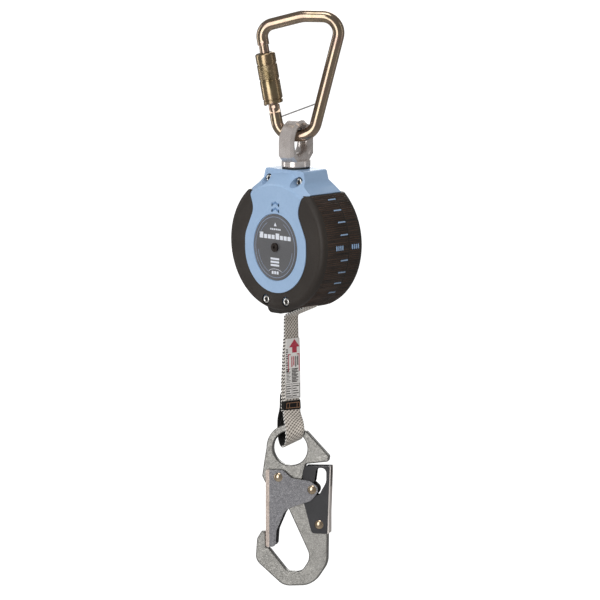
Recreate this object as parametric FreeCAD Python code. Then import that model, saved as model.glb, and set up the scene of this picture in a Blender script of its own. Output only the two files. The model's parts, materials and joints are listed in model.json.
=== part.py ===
"""Self retracting lifeline: anchor carabiner, swivel, housed web drum with brake, webbing and snap hook.

Millimetres, +Z up. The origin is the inside top of the carabiner's bow, where an anchor carries it,
and the swivel's axis is the Z axis. The drum's axis runs along Y and the label faces -Y.
"""
import FreeCAD, Part
import math
import os
from FreeCAD import Placement, Rotation, Vector

# Heights below the anchor seat
DRUM_Z = -190.0
HOOK_Z = -371.1

# Carabiner: rod, outline corners (x, z, bend radius) in its own plane, and gate
CARABINER_TURN = 36.0
ROD_R = 5.15
FRAME_ROUTE = [
    (-28.3, -19.3, 0),
    (-31.1, -3.9, 11),
    (6.0, 6.1, 30),
    (41.2, 6.1, 14),
    (14.6, -97.8, 14.5),
    (-14.6, -97.8, 14.5),
    (-18.2, -77.8, 0),
]
GATE_PIVOT = Vector(-19.05, 0, -72.5)
GATE_LEAN = -9.98
GATE_R = 5.0
NECK_R = 4.3
GATE_TOP = 53.6
SLEEVE_R = 8.75
SLEEVE_BORE = 5.35
SLEEVE_SPAN = (2.6, 47.0)
WIRE_R = 0.6
WIRE_ENDS = (Vector(24.6, 0, -66.9), Vector(-22.2, 0, -85.1))

# Swivel eye
EYE_TURN = 14.0
EYE_HOLE_Z = -102.6
EYE_HOLE_R = 10.5
EYE_R = 18.6
EYE_HALF = 7.5
EYE_FLARE = 8.5
COLLAR_R = 12.5
STUD_R = 6.0

# Housing, measured from the drum's axis
CORE_R = 55.5
SKIN_R = 57.8
FRONT_Y = -25.2
SKIN_FRONT_Y = -24.8
CORE_FRONT_Y = -23.4
PARTING_Y = 7.0
CORE_REAR_Y = 24.8
SKIN_REAR_Y = 25.6
CAVITY = (52.5, -21.6, 23.2)
SHOULDER_Z = 44.4
NECK_TOP = 64.0
NECK_HALF = 22.8
NECK_Y = (-14.0, 14.5)
TOP_SCREWS = (18.2, 54.6)
LOW_SCREWS = (12.1, -49.1)
SCREW_R = 2.0
HEAD_R = 3.3
BORE_R = 4.5
LABEL_R = (26.4, 29.1)
LABEL_Z = -2.6
MARK_STEP = 11.0

# Drum and brake
SHAFT_R = 6.0
HUB_R = 17.0
ROLL_R = 34.5
FLANGE_R = 42.0
WEB_Y = (-9.4, 9.0)
STRAP_Y = -0.2
PLATE_T = 2.5
PLATES_Y = (-13.5, 10.8)
PLATE_DISC_R = 41.0
TEETH = 12
TOOTH_R = (28.5, 31.5)
RING_R = 34.5
PAWL_PIN_R = 17.0

# Webbing
STRAP_W = 17.0
STRAP_T = 1.8
STRAP_X = -6.0
FOLD_Z = -64.4
LEADER_Z = (-70.0, -84.7)
LABEL_SPAN = (-84.7, -138.1)
KEEPER_SPAN = (-139.3, -147.0)
LABEL_TURN = 82.0
KEEPER_TURN = 68.0
LOOP_TURN = 58.0
LOOP_Z = -354.5
LOOP_R = 12.45
THROAT_Z = -339.5

# Snap hook, measured from the middle of its eye
HOOK_TURN = 33.0
HOOK_T = 7.0
HOOK_EYE_R = 15.1
PIVOT_A = (-9.8, -25.1)
RIVET_B = (20.0, -35.1)
PIVOT_C = (25.9, -65.7)
GATE_OPEN = 30.0
LEVER_OPEN = 10.0
RIVET_R = 2.4
RIVET_HEAD_R = 4.3
LEVER_Y = (3.9, 5.3)
HOOK_GATE_Y = (5.6, 7.1)

os.makedirs("parts", exist_ok=True)


def move(shape, at, turn=0.0):
    """A copy of the shape, turned about Z and moved, with its exact surfaces kept."""
    copy = shape.copy()
    copy.Placement = Placement(Vector(*at), Rotation(Vector(0, 0, 1), turn)).multiply(copy.Placement)
    return copy


def along_y(radius, y0, y1, x=0.0, z=0.0):
    """A cylinder along Y."""
    return Part.makeCylinder(radius, y1 - y0, Vector(x, y0, z), Vector(0, 1, 0))


def along_z(radius, z0, z1, x=0.0, y=0.0):
    """A cylinder along Z."""
    return Part.makeCylinder(radius, z1 - z0, Vector(x, y, z0), Vector(0, 0, 1))


def ring_y(outer, inner, y0, y1):
    """A ring about the Y axis."""
    return along_y(outer, y0, y1).cut(along_y(inner, y0 - 1, y1 + 1))


def block(x0, x1, y0, y1, z0, z1):
    """A box between two corners."""
    return Part.makeBox(x1 - x0, y1 - y0, z1 - z0, Vector(x0, y0, z0))


def fuse(shapes):
    """One solid from several that overlap."""
    whole = shapes[0].multiFuse(shapes[1:]) if len(shapes) > 1 else shapes[0]
    return whole.removeSplitter()


def cut(shape, tools):
    """The shape without the tools."""
    return shape.cut(tools) if tools else shape


def path_edges(points, closed=False):
    """Straight runs and tangent arcs through (x, z, radius) corners in the XZ plane."""
    spots = [Vector(x, 0, z) for x, z, r in points]
    count = len(points)
    starts, ends, arcs = [], [], []
    for i, (x, z, radius) in enumerate(points):
        corner = spots[i]
        if radius == 0 or (not closed and i in (0, count - 1)):
            starts.append(corner)
            ends.append(corner)
            arcs.append(None)
            continue
        back = (spots[i - 1] - corner).normalize()
        on = (spots[(i + 1) % count] - corner).normalize()
        half = back.getAngle(on) / 2
        reach = radius / math.tan(half)
        middle = (back + on).normalize()
        crown = corner + middle * (radius / math.sin(half) - radius)
        starts.append(corner + back * reach)
        ends.append(corner + on * reach)
        arcs.append(Part.Arc(corner + back * reach, crown, corner + on * reach).toShape())
    edges = []
    for i in range(count):
        if arcs[i]:
            edges.append(arcs[i])
        following = (i + 1) % count
        if following == 0 and not closed:
            break
        if (starts[following] - ends[i]).Length > 1e-4:
            edges.append(Part.LineSegment(ends[i], starts[following]).toShape())
    return edges


def plate(points, y0, y1):
    """A flat plate with a rounded outline in the XZ plane, between two Y planes."""
    face = Part.Face(Part.Wire(path_edges(points, closed=True)))
    return move(face.extrude(Vector(0, y1 - y0, 0)), (0, y0, 0))


def mirrored(half):
    """A closed outline from its right half, given from the bottom up."""
    return half + [(-x, z, r) for x, z, r in reversed(half)]


def spin(points):
    """A solid of revolution about Y, from (radius, y) corners."""
    spots = [Vector(r, y, 0) for r, y in points]
    wire = Part.makePolygon(spots + spots[:1])
    return Part.Face(wire).revolve(Vector(0, 0, 0), Vector(0, 1, 0), 360)


def round_edges(shape, radius, wanted):
    """Fillets on the edges that the test picks."""
    edges = [edge for edge in shape.Edges if wanted(edge)]
    return shape.makeFillet(radius, edges) if edges else shape


def bevel_edges(shape, size, wanted):
    """Chamfers on the edges that the test picks."""
    edges = [edge for edge in shape.Edges if wanted(edge)]
    return shape.makeChamfer(size, edges) if edges else shape


def circle_at(edge, radius, y):
    """Whether the edge is a full circle about Y of that radius, in that plane."""
    curve = edge.Curve
    if not isinstance(curve, Part.Circle):
        return False
    return abs(curve.Radius - radius) < 0.01 and abs(edge.CenterOfMass.y - y) < 0.01


def save(name, shape):
    """Writes one node's STEP file."""
    solids = shape.Solids
    whole = solids[0] if len(solids) == 1 else Part.makeCompound(solids)
    if not whole.isValid():
        print("not valid:", name)
    whole.exportStep(f"parts/{name}.step")


# ---------------------------------------------------------------- anchor carabiner


def on_gate(shape):
    """From the gate's own frame, its pivot at the origin and its length along Z, to the row's."""
    copy = shape.copy()
    lean = Placement(GATE_PIVOT, Rotation(Vector(0, 1, 0), GATE_LEAN))
    turn = Placement(Vector(0, 0, 0), Rotation(Vector(0, 0, 1), CARABINER_TURN))
    copy.Placement = turn.multiply(lean).multiply(copy.Placement)
    return copy


def on_carabiner(shape):
    """From the carabiner's own plane, drawn as XZ, to the row's frame."""
    return move(shape, (0, 0, 0), CARABINER_TURN)


def rod_along(points, radius):
    """A round rod swept along a path of runs and arcs."""
    edges = path_edges(points)
    route = Part.Wire(edges)
    first = edges[0]
    start = first.valueAt(first.FirstParameter)
    heading = first.tangentAt(first.FirstParameter)
    profile = Part.Wire(Part.makeCircle(radius, start, heading))
    return route.makePipeShell([profile], True, False)


def carabiner_frame():
    """The bent rod with its nose tongue, its hinge tongue and the holes for the pins."""
    rod = on_carabiner(rod_along(FRAME_ROUTE, ROD_R))
    hinge_end = block(-9, 9, -9, 9, -5.4, 14)
    nose_end = block(-9, 9, -9, 9, 40, GATE_TOP + 0.4)
    hinge_tongue = block(-4.6, 4.6, -2.1, 2.1, -8, 0).fuse(along_y(4.6, -2.1, 2.1))
    nose_tongue = block(-3.4, 1.2, -1.5, 1.5, GATE_TOP - 3.6, GATE_TOP + 3)
    frame = cut(rod, [on_gate(hinge_end), on_gate(nose_end)])
    frame = fuse([frame, on_gate(hinge_tongue), on_gate(nose_tongue)])
    holes = [on_gate(along_y(1.6, -9, 9)), on_gate(along_y(1.4, -9, 9, 0, GATE_TOP + 3.2)), wire_pin()]
    return cut(frame, holes)


def wire_pin():
    """The captive wire across the narrow end, which keeps the swivel eye there."""
    span = WIRE_ENDS[1] - WIRE_ENDS[0]
    return on_carabiner(Part.makeCylinder(WIRE_R, span.Length, WIRE_ENDS[0], span))


def carabiner_gate():
    """The gate's rod: a fork over the hinge tongue, a bore for the plunger and a slotted nose."""
    cheeks = along_y(GATE_R, -GATE_R, GATE_R).common(block(-GATE_R, GATE_R, -GATE_R, GATE_R, -GATE_R, 0))
    round_rod = along_z(GATE_R, -GATE_R, 44.0).fuse(along_z(NECK_R, 44.0, GATE_TOP))
    below = round_rod.common(block(-9, 9, -9, 9, -9, 0)).common(cheeks)
    gate = fuse([below, round_rod.common(block(-9, 9, -9, 9, 0, 90))])
    slot = block(-9, 9, -2.4, 2.4, -9, 6.2)
    plunger_bore = along_z(2.0, 5, 24)
    nose_slot = block(-9, 1.7, -1.9, 1.9, GATE_TOP - 4.2, GATE_TOP + 1)
    return cut(gate, [slot, plunger_bore, nose_slot, along_y(1.65, -9, 9)])


def lock_sleeve():
    """The twist sleeve: a knurled tube with a spring pocket and four notches in its lower edge."""
    low, high = SLEEVE_SPAN
    tube = along_z(SLEEVE_R, low, high)
    tube = bevel_edges(tube, 0.6, lambda edge: isinstance(edge.Curve, Part.Circle))
    inside = [along_z(SLEEVE_BORE, low - 1, high + 1), along_z(7.3, 12, 34)]
    notch = Part.makeCylinder(2.1, 20, Vector(-10, 0, low + 0.4), Vector(1, 0, 0))
    return cut(tube, inside + [notch, along_y(2.1, -10, 10, 0, low + 0.4)])


def spring_coil(radius, wire, pitch, height, base, axis=Vector(0, 0, 1)):
    """A round-wire coil spring."""
    helix = Part.makeHelix(pitch, height, radius)
    slope = pitch / (2 * math.pi * radius)
    profile = Part.Wire(Part.makeCircle(wire, Vector(radius, 0, 0), Vector(0, 1, slope)))
    coil = Part.Wire(helix).makePipeShell([profile], True, True)
    coil.Placement = Placement(base, Rotation(Vector(0, 0, 1), axis))
    return coil


def build_carabiner():
    low = SLEEVE_SPAN[0]
    spots = [Vector(-7.1, 0, low + 0.4), Vector(0, -7.1, low + 0.4)]
    balls = [Part.makeSphere(1.7, spot) for spot in spots]
    save("carabiner_frame", carabiner_frame())
    save("carabiner_gate", on_gate(carabiner_gate()))
    save("gate_hinge_pin", on_gate(along_y(1.6, -4.9, 4.9)))
    save("nose_rivet", on_gate(along_y(1.4, -5.3, 5.3, 0, GATE_TOP + 3.2)))
    save("gate_plunger", on_gate(along_z(1.8, 6.8, 12)))
    save("gate_spring", on_gate(spring_coil(1.35, 0.25, 1.5, 10.5, Vector(0, 0, 12.4))))
    save("lock_sleeve", on_gate(lock_sleeve()))
    save("sleeve_balls", on_gate(Part.makeCompound(balls)))
    save("sleeve_spring", on_gate(spring_coil(6.3, 0.5, 3.2, 19.2, Vector(0, 0, 13.2))))
    save("captive_wire_pin", wire_pin())


# ---------------------------------------------------------------- swivel


def spool(radius, flare, half):
    """The rounded mouth-to-mouth hole of an eye, along X, about the eye's middle."""
    steps = 8
    rim = []
    for i in range(-steps, steps + 1):
        x = half * 1.02 * i / steps
        rim.append(Vector(x, radius + flare - math.sqrt(flare**2 - x**2), 0))
    curve = Part.BSplineCurve()
    curve.interpolate(rim)
    right, left = Vector(rim[-1].x, 0, 0), Vector(rim[0].x, 0, 0)
    sides = [Part.makeLine(rim[-1], right), Part.makeLine(right, left), Part.makeLine(left, rim[0])]
    wire = Part.Wire([curve.toShape()] + sides)
    return Part.Face(wire).revolve(Vector(0, 0, 0), Vector(1, 0, 0), 360)


def swivel_eye():
    """The forged eye, its collar and the stud that turns in the bracket."""
    foot = EYE_HOLE_Z - 16.8
    outline = [(13.2, foot, 0), (EYE_R, foot + 4.5, 3), (EYE_R, EYE_HOLE_Z + EYE_R, EYE_R - 0.01)]
    body = plate(mirrored(outline), -EYE_HALF, EYE_HALF)
    body = bevel_edges(body, 2.2, lambda edge: abs(abs(edge.CenterOfMass.y) - EYE_HALF) < 0.01
                       and edge.CenterOfMass.z > foot + 0.1)
    body = move(body, (0, 0, 0), 90)
    hole = move(spool(EYE_HOLE_R, EYE_FLARE, EYE_HALF), (0, 0, EYE_HOLE_Z))
    collar = along_z(COLLAR_R, foot - 5.2, foot + 0.4)
    collar = bevel_edges(collar, 0.8, lambda edge: edge.CenterOfMass.z < foot - 5)
    stud = along_z(STUD_R, DRUM_Z + 44.4, foot)
    return move(fuse([body.cut(hole), collar, stud]), (0, 0, 0), EYE_TURN)


def round_nut(radius, z0, z1):
    """The slotted round nut that keeps the stud in the bracket."""
    nut = along_z(radius, z0, z1).cut(along_z(STUD_R, -200, 0))
    slots = [block(-1.2, 1.2, radius - 1.2, radius + 1, z0 - 1, z1 + 1) for _ in range(4)]
    for i, slot in enumerate(slots):
        slot.rotate(Vector(0, 0, 0), Vector(0, 0, 1), 45 + 90 * i)
    return cut(nut, slots)


def build_swivel():
    foot = EYE_HOLE_Z - 16.8
    seal = along_z(12.1, foot - 6.3, foot - 5.2).cut(along_z(STUD_R, -200, 0))
    nut = round_nut(8.5, DRUM_Z + 44.6, DRUM_Z + 49.8)
    washer = along_z(8.6, DRUM_Z + 50.0, DRUM_Z + 52.0).cut(along_z(STUD_R + 0.3, -200, 0))
    save("swivel_eye", swivel_eye())
    save("swivel_seal", seal)
    save("swivel_nut", nut)
    save("thrust_washer", washer)


# ---------------------------------------------------------------- housing


def on_drum(shape):
    """From the drum's axis to the row's frame."""
    return move(shape, (0, 0, DRUM_Z))


def neck_outline():
    """The housing's shoulders and neck, seen from the front."""
    return mirrored([
        (29.5, 38.0, 0),
        (31.9, SHOULDER_Z, 0),
        (36.9, SHOULDER_Z, 0.6),
        (26.3, 51.8, 9),
        (NECK_HALF, NECK_TOP, 2.6),
    ])


def keyhole_outline(grow=0.0):
    """The raised panel on the front: a round below, a waist, and shoulders under the neck."""
    return mirrored([
        (37.0 + grow, -42.2 - grow, 36.9 + grow),
        (37.0 + grow, 6.0, 22),
        (26.2 + grow, 29.0, 14),
        (31.8 + grow, SHOULDER_Z - grow, 4.5),
        (60.0, SHOULDER_Z - grow, 0),
        (60.0, 62.0, 0),
    ])


def shoulders():
    """What bounds the neck: it slopes back from the round front and rear to the neck's faces."""
    front, rear = NECK_Y
    return spin([(0, FRONT_Y), (50.5, FRONT_Y), (52.5, FRONT_Y + 1.2), (61.0, front), (80.0, front),
                 (80.0, rear), (61.0, rear), (53.0, CORE_REAR_Y), (0, CORE_REAR_Y)])


def housing_core():
    """The hard shell's outside: the round case, the raised front panel and the neck."""
    case = along_y(CORE_R, CORE_FRONT_Y, CORE_REAR_Y)
    case = round_edges(case, 5.0, lambda edge: circle_at(edge, CORE_R, CORE_FRONT_Y)
                       or circle_at(edge, CORE_R, CORE_REAR_Y))
    neck = plate(neck_outline(), FRONT_Y, CORE_REAR_Y).common(shoulders())
    panel = plate(keyhole_outline(), FRONT_Y, CORE_FRONT_Y + 2)
    panel = panel.common(spin([(0, FRONT_Y), (50.5, FRONT_Y), (52.5, FRONT_Y + 1.2), (52.5, 0), (0, 0)]))
    return fuse([case, neck, panel])


def housing_cavity():
    """The room inside both shells, with the screw bosses left standing."""
    radius, front, rear = CAVITY
    drum_room = along_y(radius, front, rear)
    neck_room = block(-13.9, 13.9, NECK_Y[0] + 2.3, NECK_Y[1] - 2.2, 40, NECK_TOP - 3)
    bosses = [along_y(5.1, -40, 40, x * side, z) for x, z in (TOP_SCREWS, LOW_SCREWS) for side in (-1, 1)]
    return drum_room.fuse(neck_room).cut(bosses)


def screw_places():
    """X, Z, the head seat's Y and the insert's Y of the four housing screws."""
    top = [(side * TOP_SCREWS[0], TOP_SCREWS[1], NECK_Y[0] + 2.6, NECK_Y[1] - 1.0) for side in (-1, 1)]
    low = [(side * LOW_SCREWS[0], LOW_SCREWS[1], FRONT_Y + 4.4, CORE_REAR_Y - 2.0) for side in (-1, 1)]
    return top + low


def screw_holes():
    """Counterbores, clearance holes and insert pockets."""
    tools = []
    for x, z, seat, end in screw_places():
        tools += [along_y(BORE_R, -40, seat, x, z), along_y(SCREW_R + 0.15, seat - 1, end, x, z)]
        tools += [along_y(3.2, end - 6, end, x, z)]
    return tools


def exit_opening():
    """The way out for the webbing, through the bottom of the case and the skin."""
    return block(14.2, 24.0, -10.4, 10.2, -64.5, -43.0)


def housing_shells():
    """The front and rear hard shells."""
    whole = cut(housing_core(), [housing_cavity(), exit_opening(), along_z(STUD_R + 0.3, 50, 80)])
    whole = cut(whole, screw_holes() + [along_y(2.0, -40, -18, 0, LABEL_Z), label_recess()])
    front = whole.common(block(-90, 90, -90, PARTING_Y, -90, 90))
    rear = whole.common(block(-90, 90, PARTING_Y, 90, -90, 90))
    return front, rear


def oval(grow, y0, y1):
    """The label's oval prism."""
    ring = Part.Ellipse(Vector(0, 0, 0), LABEL_R[1] + grow, LABEL_R[0] + grow).toShape()
    face = Part.Face(Part.Wire(ring))
    face.Placement = Placement(Vector(0, y0, LABEL_Z), Rotation(Vector(1, 1, 1), 240))
    return face.extrude(Vector(0, y1 - y0, 0))


def label_recess():
    """The shallow oval seat of the front label."""
    return oval(0.35, FRONT_Y - 1, FRONT_Y + 0.7)


def skin_marks():
    """Windows in the skin's rim through which the shell shows as a scale of short marks."""
    tools = []
    for step in (-4, -3, -2, -1, 1, 2, 3, 4):
        window = block(CORE_R + 0.2, SKIN_R + 2, PARTING_Y - 9.6, PARTING_Y - 0.6, -0.75, 0.75)
        window.rotate(Vector(0, 0, 0), Vector(0, 1, 0), -MARK_STEP * step)
        tools.append(window)
    return tools


def overmoulds():
    """The two black skins over the shells."""
    skin = along_y(SKIN_R, SKIN_FRONT_Y, SKIN_REAR_Y)
    skin = round_edges(skin, 5.2, lambda edge: circle_at(edge, SKIN_R, SKIN_FRONT_Y)
                       or circle_at(edge, SKIN_R, SKIN_REAR_Y))
    keyhole = plate(keyhole_outline(0.25), -40, CORE_FRONT_Y + 1)
    rear_panel = along_y(33.0, CORE_REAR_Y - 1, 40)
    neck_zone = block(-60, 60, -40, 40, SHOULDER_Z, 80)
    skin = cut(skin, [housing_core(), keyhole, rear_panel, neck_zone, along_y(CORE_R - 1, -19, 20)])
    skin = cut(skin, screw_holes() + skin_marks() + [exit_opening(), block(-23.4, 14.4, -17, 17, -64, -46)])
    front = skin.common(block(-90, 90, -90, PARTING_Y - 0.15, -90, 90))
    rear = skin.common(block(-90, 90, PARTING_Y + 0.15, 90, -90, 90))
    return biggest(front), biggest(rear)


def biggest(shape):
    """The largest solid of a shape that a cut left in several pieces."""
    return max(shape.Solids, key=lambda solid: solid.Volume)


def exit_guide():
    """The boat-shaped foot under the case, whose end the webbing turns round as it leaves."""
    outline = [(-23.0, -50.5, 0), (-17.0, -61.9, 5), (-3.5, -61.9, 3), (14.0, -55.1, 0), (14.0, -50.5, 0)]
    hull = plate(outline, -16.6, 16.6)
    hull = round_edges(hull, 2.0, lambda edge: abs(abs(edge.CenterOfMass.y) - 16.6) < 0.1
                       and edge.CenterOfMass.z < -61 and edge.CenterOfMass.x > -18)
    return hull.cut(along_y(CORE_R + 0.15, -40, 40))


def socket_screw(x, z, seat, end):
    """A socket cap screw along Y with its head at the front."""
    head = along_y(HEAD_R, seat - 3.6, seat, x, z)
    shank = along_y(SCREW_R, seat, end - 0.4, x, z)
    socket = along_y(1.6, seat - 4, seat - 1.6, x, z)
    return fuse([head, shank]).cut(socket)


def build_housing():
    front, rear = housing_shells()
    front_skin, rear_skin = overmoulds()
    save("front_housing", on_drum(biggest(front)))
    save("rear_housing", on_drum(biggest(rear)))
    save("front_overmould", on_drum(front_skin))
    save("rear_overmould", on_drum(rear_skin))
    save("exit_guide", on_drum(biggest(exit_guide())))
    screws = [socket_screw(*spot) for spot in screw_places()]
    save("housing_screws", on_drum(Part.makeCompound(screws)))
    inserts = [along_y(3.2, end - 6, end, x, z).cut(along_y(SCREW_R, -40, 40, x, z))
               for x, z, seat, end in screw_places()]
    save("threaded_inserts", on_drum(Part.makeCompound(inserts)))
    label = oval(0.0, FRONT_Y - 0.1, FRONT_Y + 0.7).cut(along_y(2.0, -40, 40, 0, LABEL_Z))
    save("front_label", on_drum(label))
    save("rear_label", on_drum(along_y(30.0, CORE_REAR_Y, CORE_REAR_Y + 0.8)))
    centre_screw = fuse([along_y(3.9, FRONT_Y - 1.5, FRONT_Y - 0.1, 0, LABEL_Z),
                         along_y(2.0, FRONT_Y - 0.5, CAVITY[1] - 0.2, 0, LABEL_Z)])
    save("label_screw", on_drum(centre_screw.cut(along_y(1.3, FRONT_Y - 2, FRONT_Y - 0.7, 0, LABEL_Z))))


# ---------------------------------------------------------------- bracket, drum and brake


def anchor_bracket():
    """The pressed steel frame: a bridge under the neck and two plates either side of the drum."""
    front, rear = PLATES_Y
    neck_front, neck_rear = NECK_Y[0] + 2.6, NECK_Y[1] - 2.5
    side = [(front, -16), (front, 43), (neck_front, 47.5), (neck_front, 57), (neck_rear, 57),
            (neck_rear, 47.5), (rear + PLATE_T, 43), (rear + PLATE_T, -16), (rear, -16), (rear, 43),
            (neck_rear - PLATE_T, 47), (neck_rear - PLATE_T, 52), (neck_front + PLATE_T, 52),
            (neck_front + PLATE_T, 47), (front + PLATE_T, 43), (front + PLATE_T, -16)]
    corners = [Vector(-13, y, z) for y, z in side]
    strap = Part.Face(Part.makePolygon(corners + corners[:1])).extrude(Vector(26, 0, 0))
    discs = [along_y(PLATE_DISC_R, front, front + PLATE_T), along_y(26, rear, rear + PLATE_T)]
    bores = [along_y(9.0, -30, 30), along_z(STUD_R + 0.08, 40, 70)]
    return cut(fuse([strap] + discs), bores + brake_screw_holes())


def brake_spots():
    """The six places of the brake screws round the ratchet ring."""
    return [(37.9 * math.cos(math.radians(a)), 37.9 * math.sin(math.radians(a))) for a in range(0, 360, 60)]


def brake_screw_holes():
    return [along_y(1.25, -30, 0, x, z) for x, z in brake_spots()]


def main_shaft():
    """The shaft that carries the drum, with a slot for the mainspring."""
    shaft = along_y(SHAFT_R, -20.9, 22.6)
    return shaft.cut(block(3.6, 9, 14.4, 23, -0.5, 0.5))


def web_drum():
    """The hub and its two flanges."""
    low, high = WEB_Y
    return cut(fuse([along_y(HUB_R, low, high), along_y(FLANGE_R, low - 1.2, low),
                     along_y(FLANGE_R, high, high + 1.2)]), [along_y(SHAFT_R, -30, 30)])


def ratchet_ring():
    """The internal ratchet that the pawls catch when the drum runs too fast."""
    inner, outer = TOOTH_R
    corners = []
    for i in range(TEETH):
        start = 2 * math.pi * i / TEETH
        for radius, share in ((outer, 0.0), (inner, 0.85), (inner, 0.99)):
            angle = start + share * 2 * math.pi / TEETH
            corners.append(Vector(radius * math.cos(angle), -18.0, radius * math.sin(angle)))
    bore = Part.Face(Part.makePolygon(corners + corners[:1])).extrude(Vector(0, 3.8, 0))
    return along_y(RING_R, -18.0, -14.2).cut(bore)


def pawl(turn):
    """One pawl, pivoted on the carrier, its nose short of the ratchet teeth."""
    outline = [(PAWL_PIN_R - 4, 4, 3), (PAWL_PIN_R + 5, 4, 3), (PAWL_PIN_R + 5.5, -6, 0),
               (PAWL_PIN_R + 8.0, -12.6, 0), (PAWL_PIN_R + 5, -15, 0), (PAWL_PIN_R - 4, -6, 3)]
    body = plate(outline, -18.0, -15.2).cut(along_y(1.55, -30, 0, PAWL_PIN_R, 0))
    body.rotate(Vector(0, 0, 0), Vector(0, 1, 0), turn)
    return body


def mainspring():
    """The flat spiral spring: half turns about two centres, its outer end hooked to the case."""
    inner, pitch, turns, thick = 6.5, 2.0, 14, 0.6
    edges = {0.0: [], thick: []}
    for offset, run in edges.items():
        radius = inner + offset
        for i in range(2 * turns):
            centre = 0.0 if i % 2 == 0 else pitch / 2
            up = 1 if i % 2 == 0 else -1
            first = Vector(centre + up * radius, 0, 0)
            crown = Vector(centre, 0, up * radius)
            last = Vector(centre - up * radius, 0, 0)
            run.append(Part.Arc(first, crown, last).toShape())
            radius += pitch / 2
    inside, outside = edges[0.0], edges[thick]
    ends = [Part.makeLine(outside[0].Vertexes[0].Point, inside[0].Vertexes[0].Point),
            Part.makeLine(inside[-1].Vertexes[-1].Point, outside[-1].Vertexes[-1].Point)]
    face = Part.Face(Part.Wire(Part.__sortEdges__(inside + outside + ends)))
    strip = move(face.extrude(Vector(0, 6.8, 0)), (0, 14.8, 0))
    reach = inner + pitch * turns
    return fuse([strip, block(reach, 38.8, 14.8, 21.6, -thick, 0)])


def build_mechanism():
    save("anchor_bracket", on_drum(anchor_bracket()))
    front, rear = PLATES_Y
    save("front_bush", on_drum(ring_y(9.0, SHAFT_R + 0.05, front, front + PLATE_T)))
    save("rear_bush", on_drum(ring_y(9.0, SHAFT_R + 0.05, rear, rear + PLATE_T)))
    save("main_shaft", on_drum(main_shaft()))
    save("web_drum", on_drum(web_drum()))
    roll = ring_y(ROLL_R - 0.9, HUB_R, STRAP_Y - STRAP_W / 2, STRAP_Y + STRAP_W / 2)
    save("webbing_roll", on_drum(roll))
    carrier = fuse([along_y(22.0, -20.6, -18.3), along_y(9.5, -18.3, -14.6)])
    pins = [along_y(1.5, -20.6, -14.8, side * PAWL_PIN_R) for side in (-1, 1)]
    save("pawl_carrier", on_drum(cut(carrier, [along_y(SHAFT_R, -30, 0)] + pins)))
    save("pawl_pins", on_drum(Part.makeCompound(pins)))
    save("pawl_1", on_drum(pawl(0)))
    save("pawl_2", on_drum(pawl(180)))
    save("ratchet_ring", on_drum(ratchet_ring()))
    discs = [ring_y(RING_R, 32.2, -14.2, front), ring_y(RING_R, 32.2, -18.7, -18.0)]
    save("friction_discs", on_drum(Part.makeCompound(discs)))
    pressure = cut(ring_y(PLATE_DISC_R, 32.4, -20.1, -18.7), brake_screw_holes())
    save("pressure_plate", on_drum(pressure))
    screws = [fuse([along_y(1.25, -20.1, front + PLATE_T, x, z), along_y(2.4, -21.3, -20.1, x, z)])
              for x, z in brake_spots()]
    save("brake_screws", on_drum(Part.makeCompound(screws)))
    save("mainspring", on_drum(mainspring()))
    case = along_y(40.0, 14.0, 22.9).cut(along_y(38.8, 13, 22.0)).cut(along_y(SHAFT_R + 0.5, 0, 30))
    save("spring_case", on_drum(case))
    save("spring_cover", on_drum(ring_y(40.0, SHAFT_R + 0.5, 13.4, 14.0)))


# ---------------------------------------------------------------- lifeline


def strap_along(points, half_width, thick=STRAP_T):
    """A flat strap on edge along Y, following a path of runs and arcs in the XZ plane."""
    edges = path_edges(points)
    route = Part.Wire(edges)
    start = edges[0].valueAt(edges[0].FirstParameter)
    heading = edges[0].tangentAt(edges[0].FirstParameter)
    across = heading.cross(Vector(0, 1, 0)).normalize() * (thick / 2)
    wide = Vector(0, half_width, 0)
    corners = [start + across + wide, start - across + wide, start - across - wide, start + across - wide]
    profile = Part.Wire(Part.makePolygon(corners + corners[:1]))
    strap = route.makePipeShell([profile], True, True)
    length = sum(edge.Length for edge in edges)
    print("strap", round(length, 1), "mm, volume ratio",
          round(strap.Volume / (length * 2 * half_width * thick), 4))
    print("  bend radii", [r for x, z, r in points if r])
    return strap


def exit_route():
    """From the roll's tangent, past the screw, out of the guide and over to the hanging line."""
    leave = math.radians(-17.4)
    start = Vector(ROLL_R * math.cos(leave), 0, ROLL_R * math.sin(leave))
    run = 46.3
    corner = start + Vector(math.sin(leave), 0, -math.cos(leave)) * run
    return [(start.x, start.z, 0), (corner.x, corner.z, 5.0), (STRAP_X, FOLD_Z, 5.0),
            (STRAP_X, LEADER_Z[0], 0)]


def on_line(shape, turn=0.0):
    """From the hanging line's own axis to the row's frame."""
    return move(shape, (STRAP_X, STRAP_Y, 0), turn)


def flat_strap(width, thick, z0, z1):
    """A flat vertical strap whose width lies along X."""
    return block(-width / 2, width / 2, -thick / 2, thick / 2, z0, z1)


def loop_prism(radius, half, width, top):
    """A drop-shaped prism: a half round below and two sides that lean together to a flat top."""
    low = [Vector(0, radius, LOOP_Z), Vector(0, -radius, LOOP_Z)]
    high = [Vector(0, half, top), Vector(0, -half, top)]
    bottom = Part.Arc(low[1], Vector(0, 0, LOOP_Z - radius), low[0]).toShape()
    sides = [Part.makeLine(low[0], high[0]), Part.makeLine(high[0], high[1]), Part.makeLine(high[1], low[1])]
    solid = Part.Face(Part.Wire([bottom] + sides)).extrude(Vector(width, 0, 0))
    return move(solid, (-width / 2, 0, 0))


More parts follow.
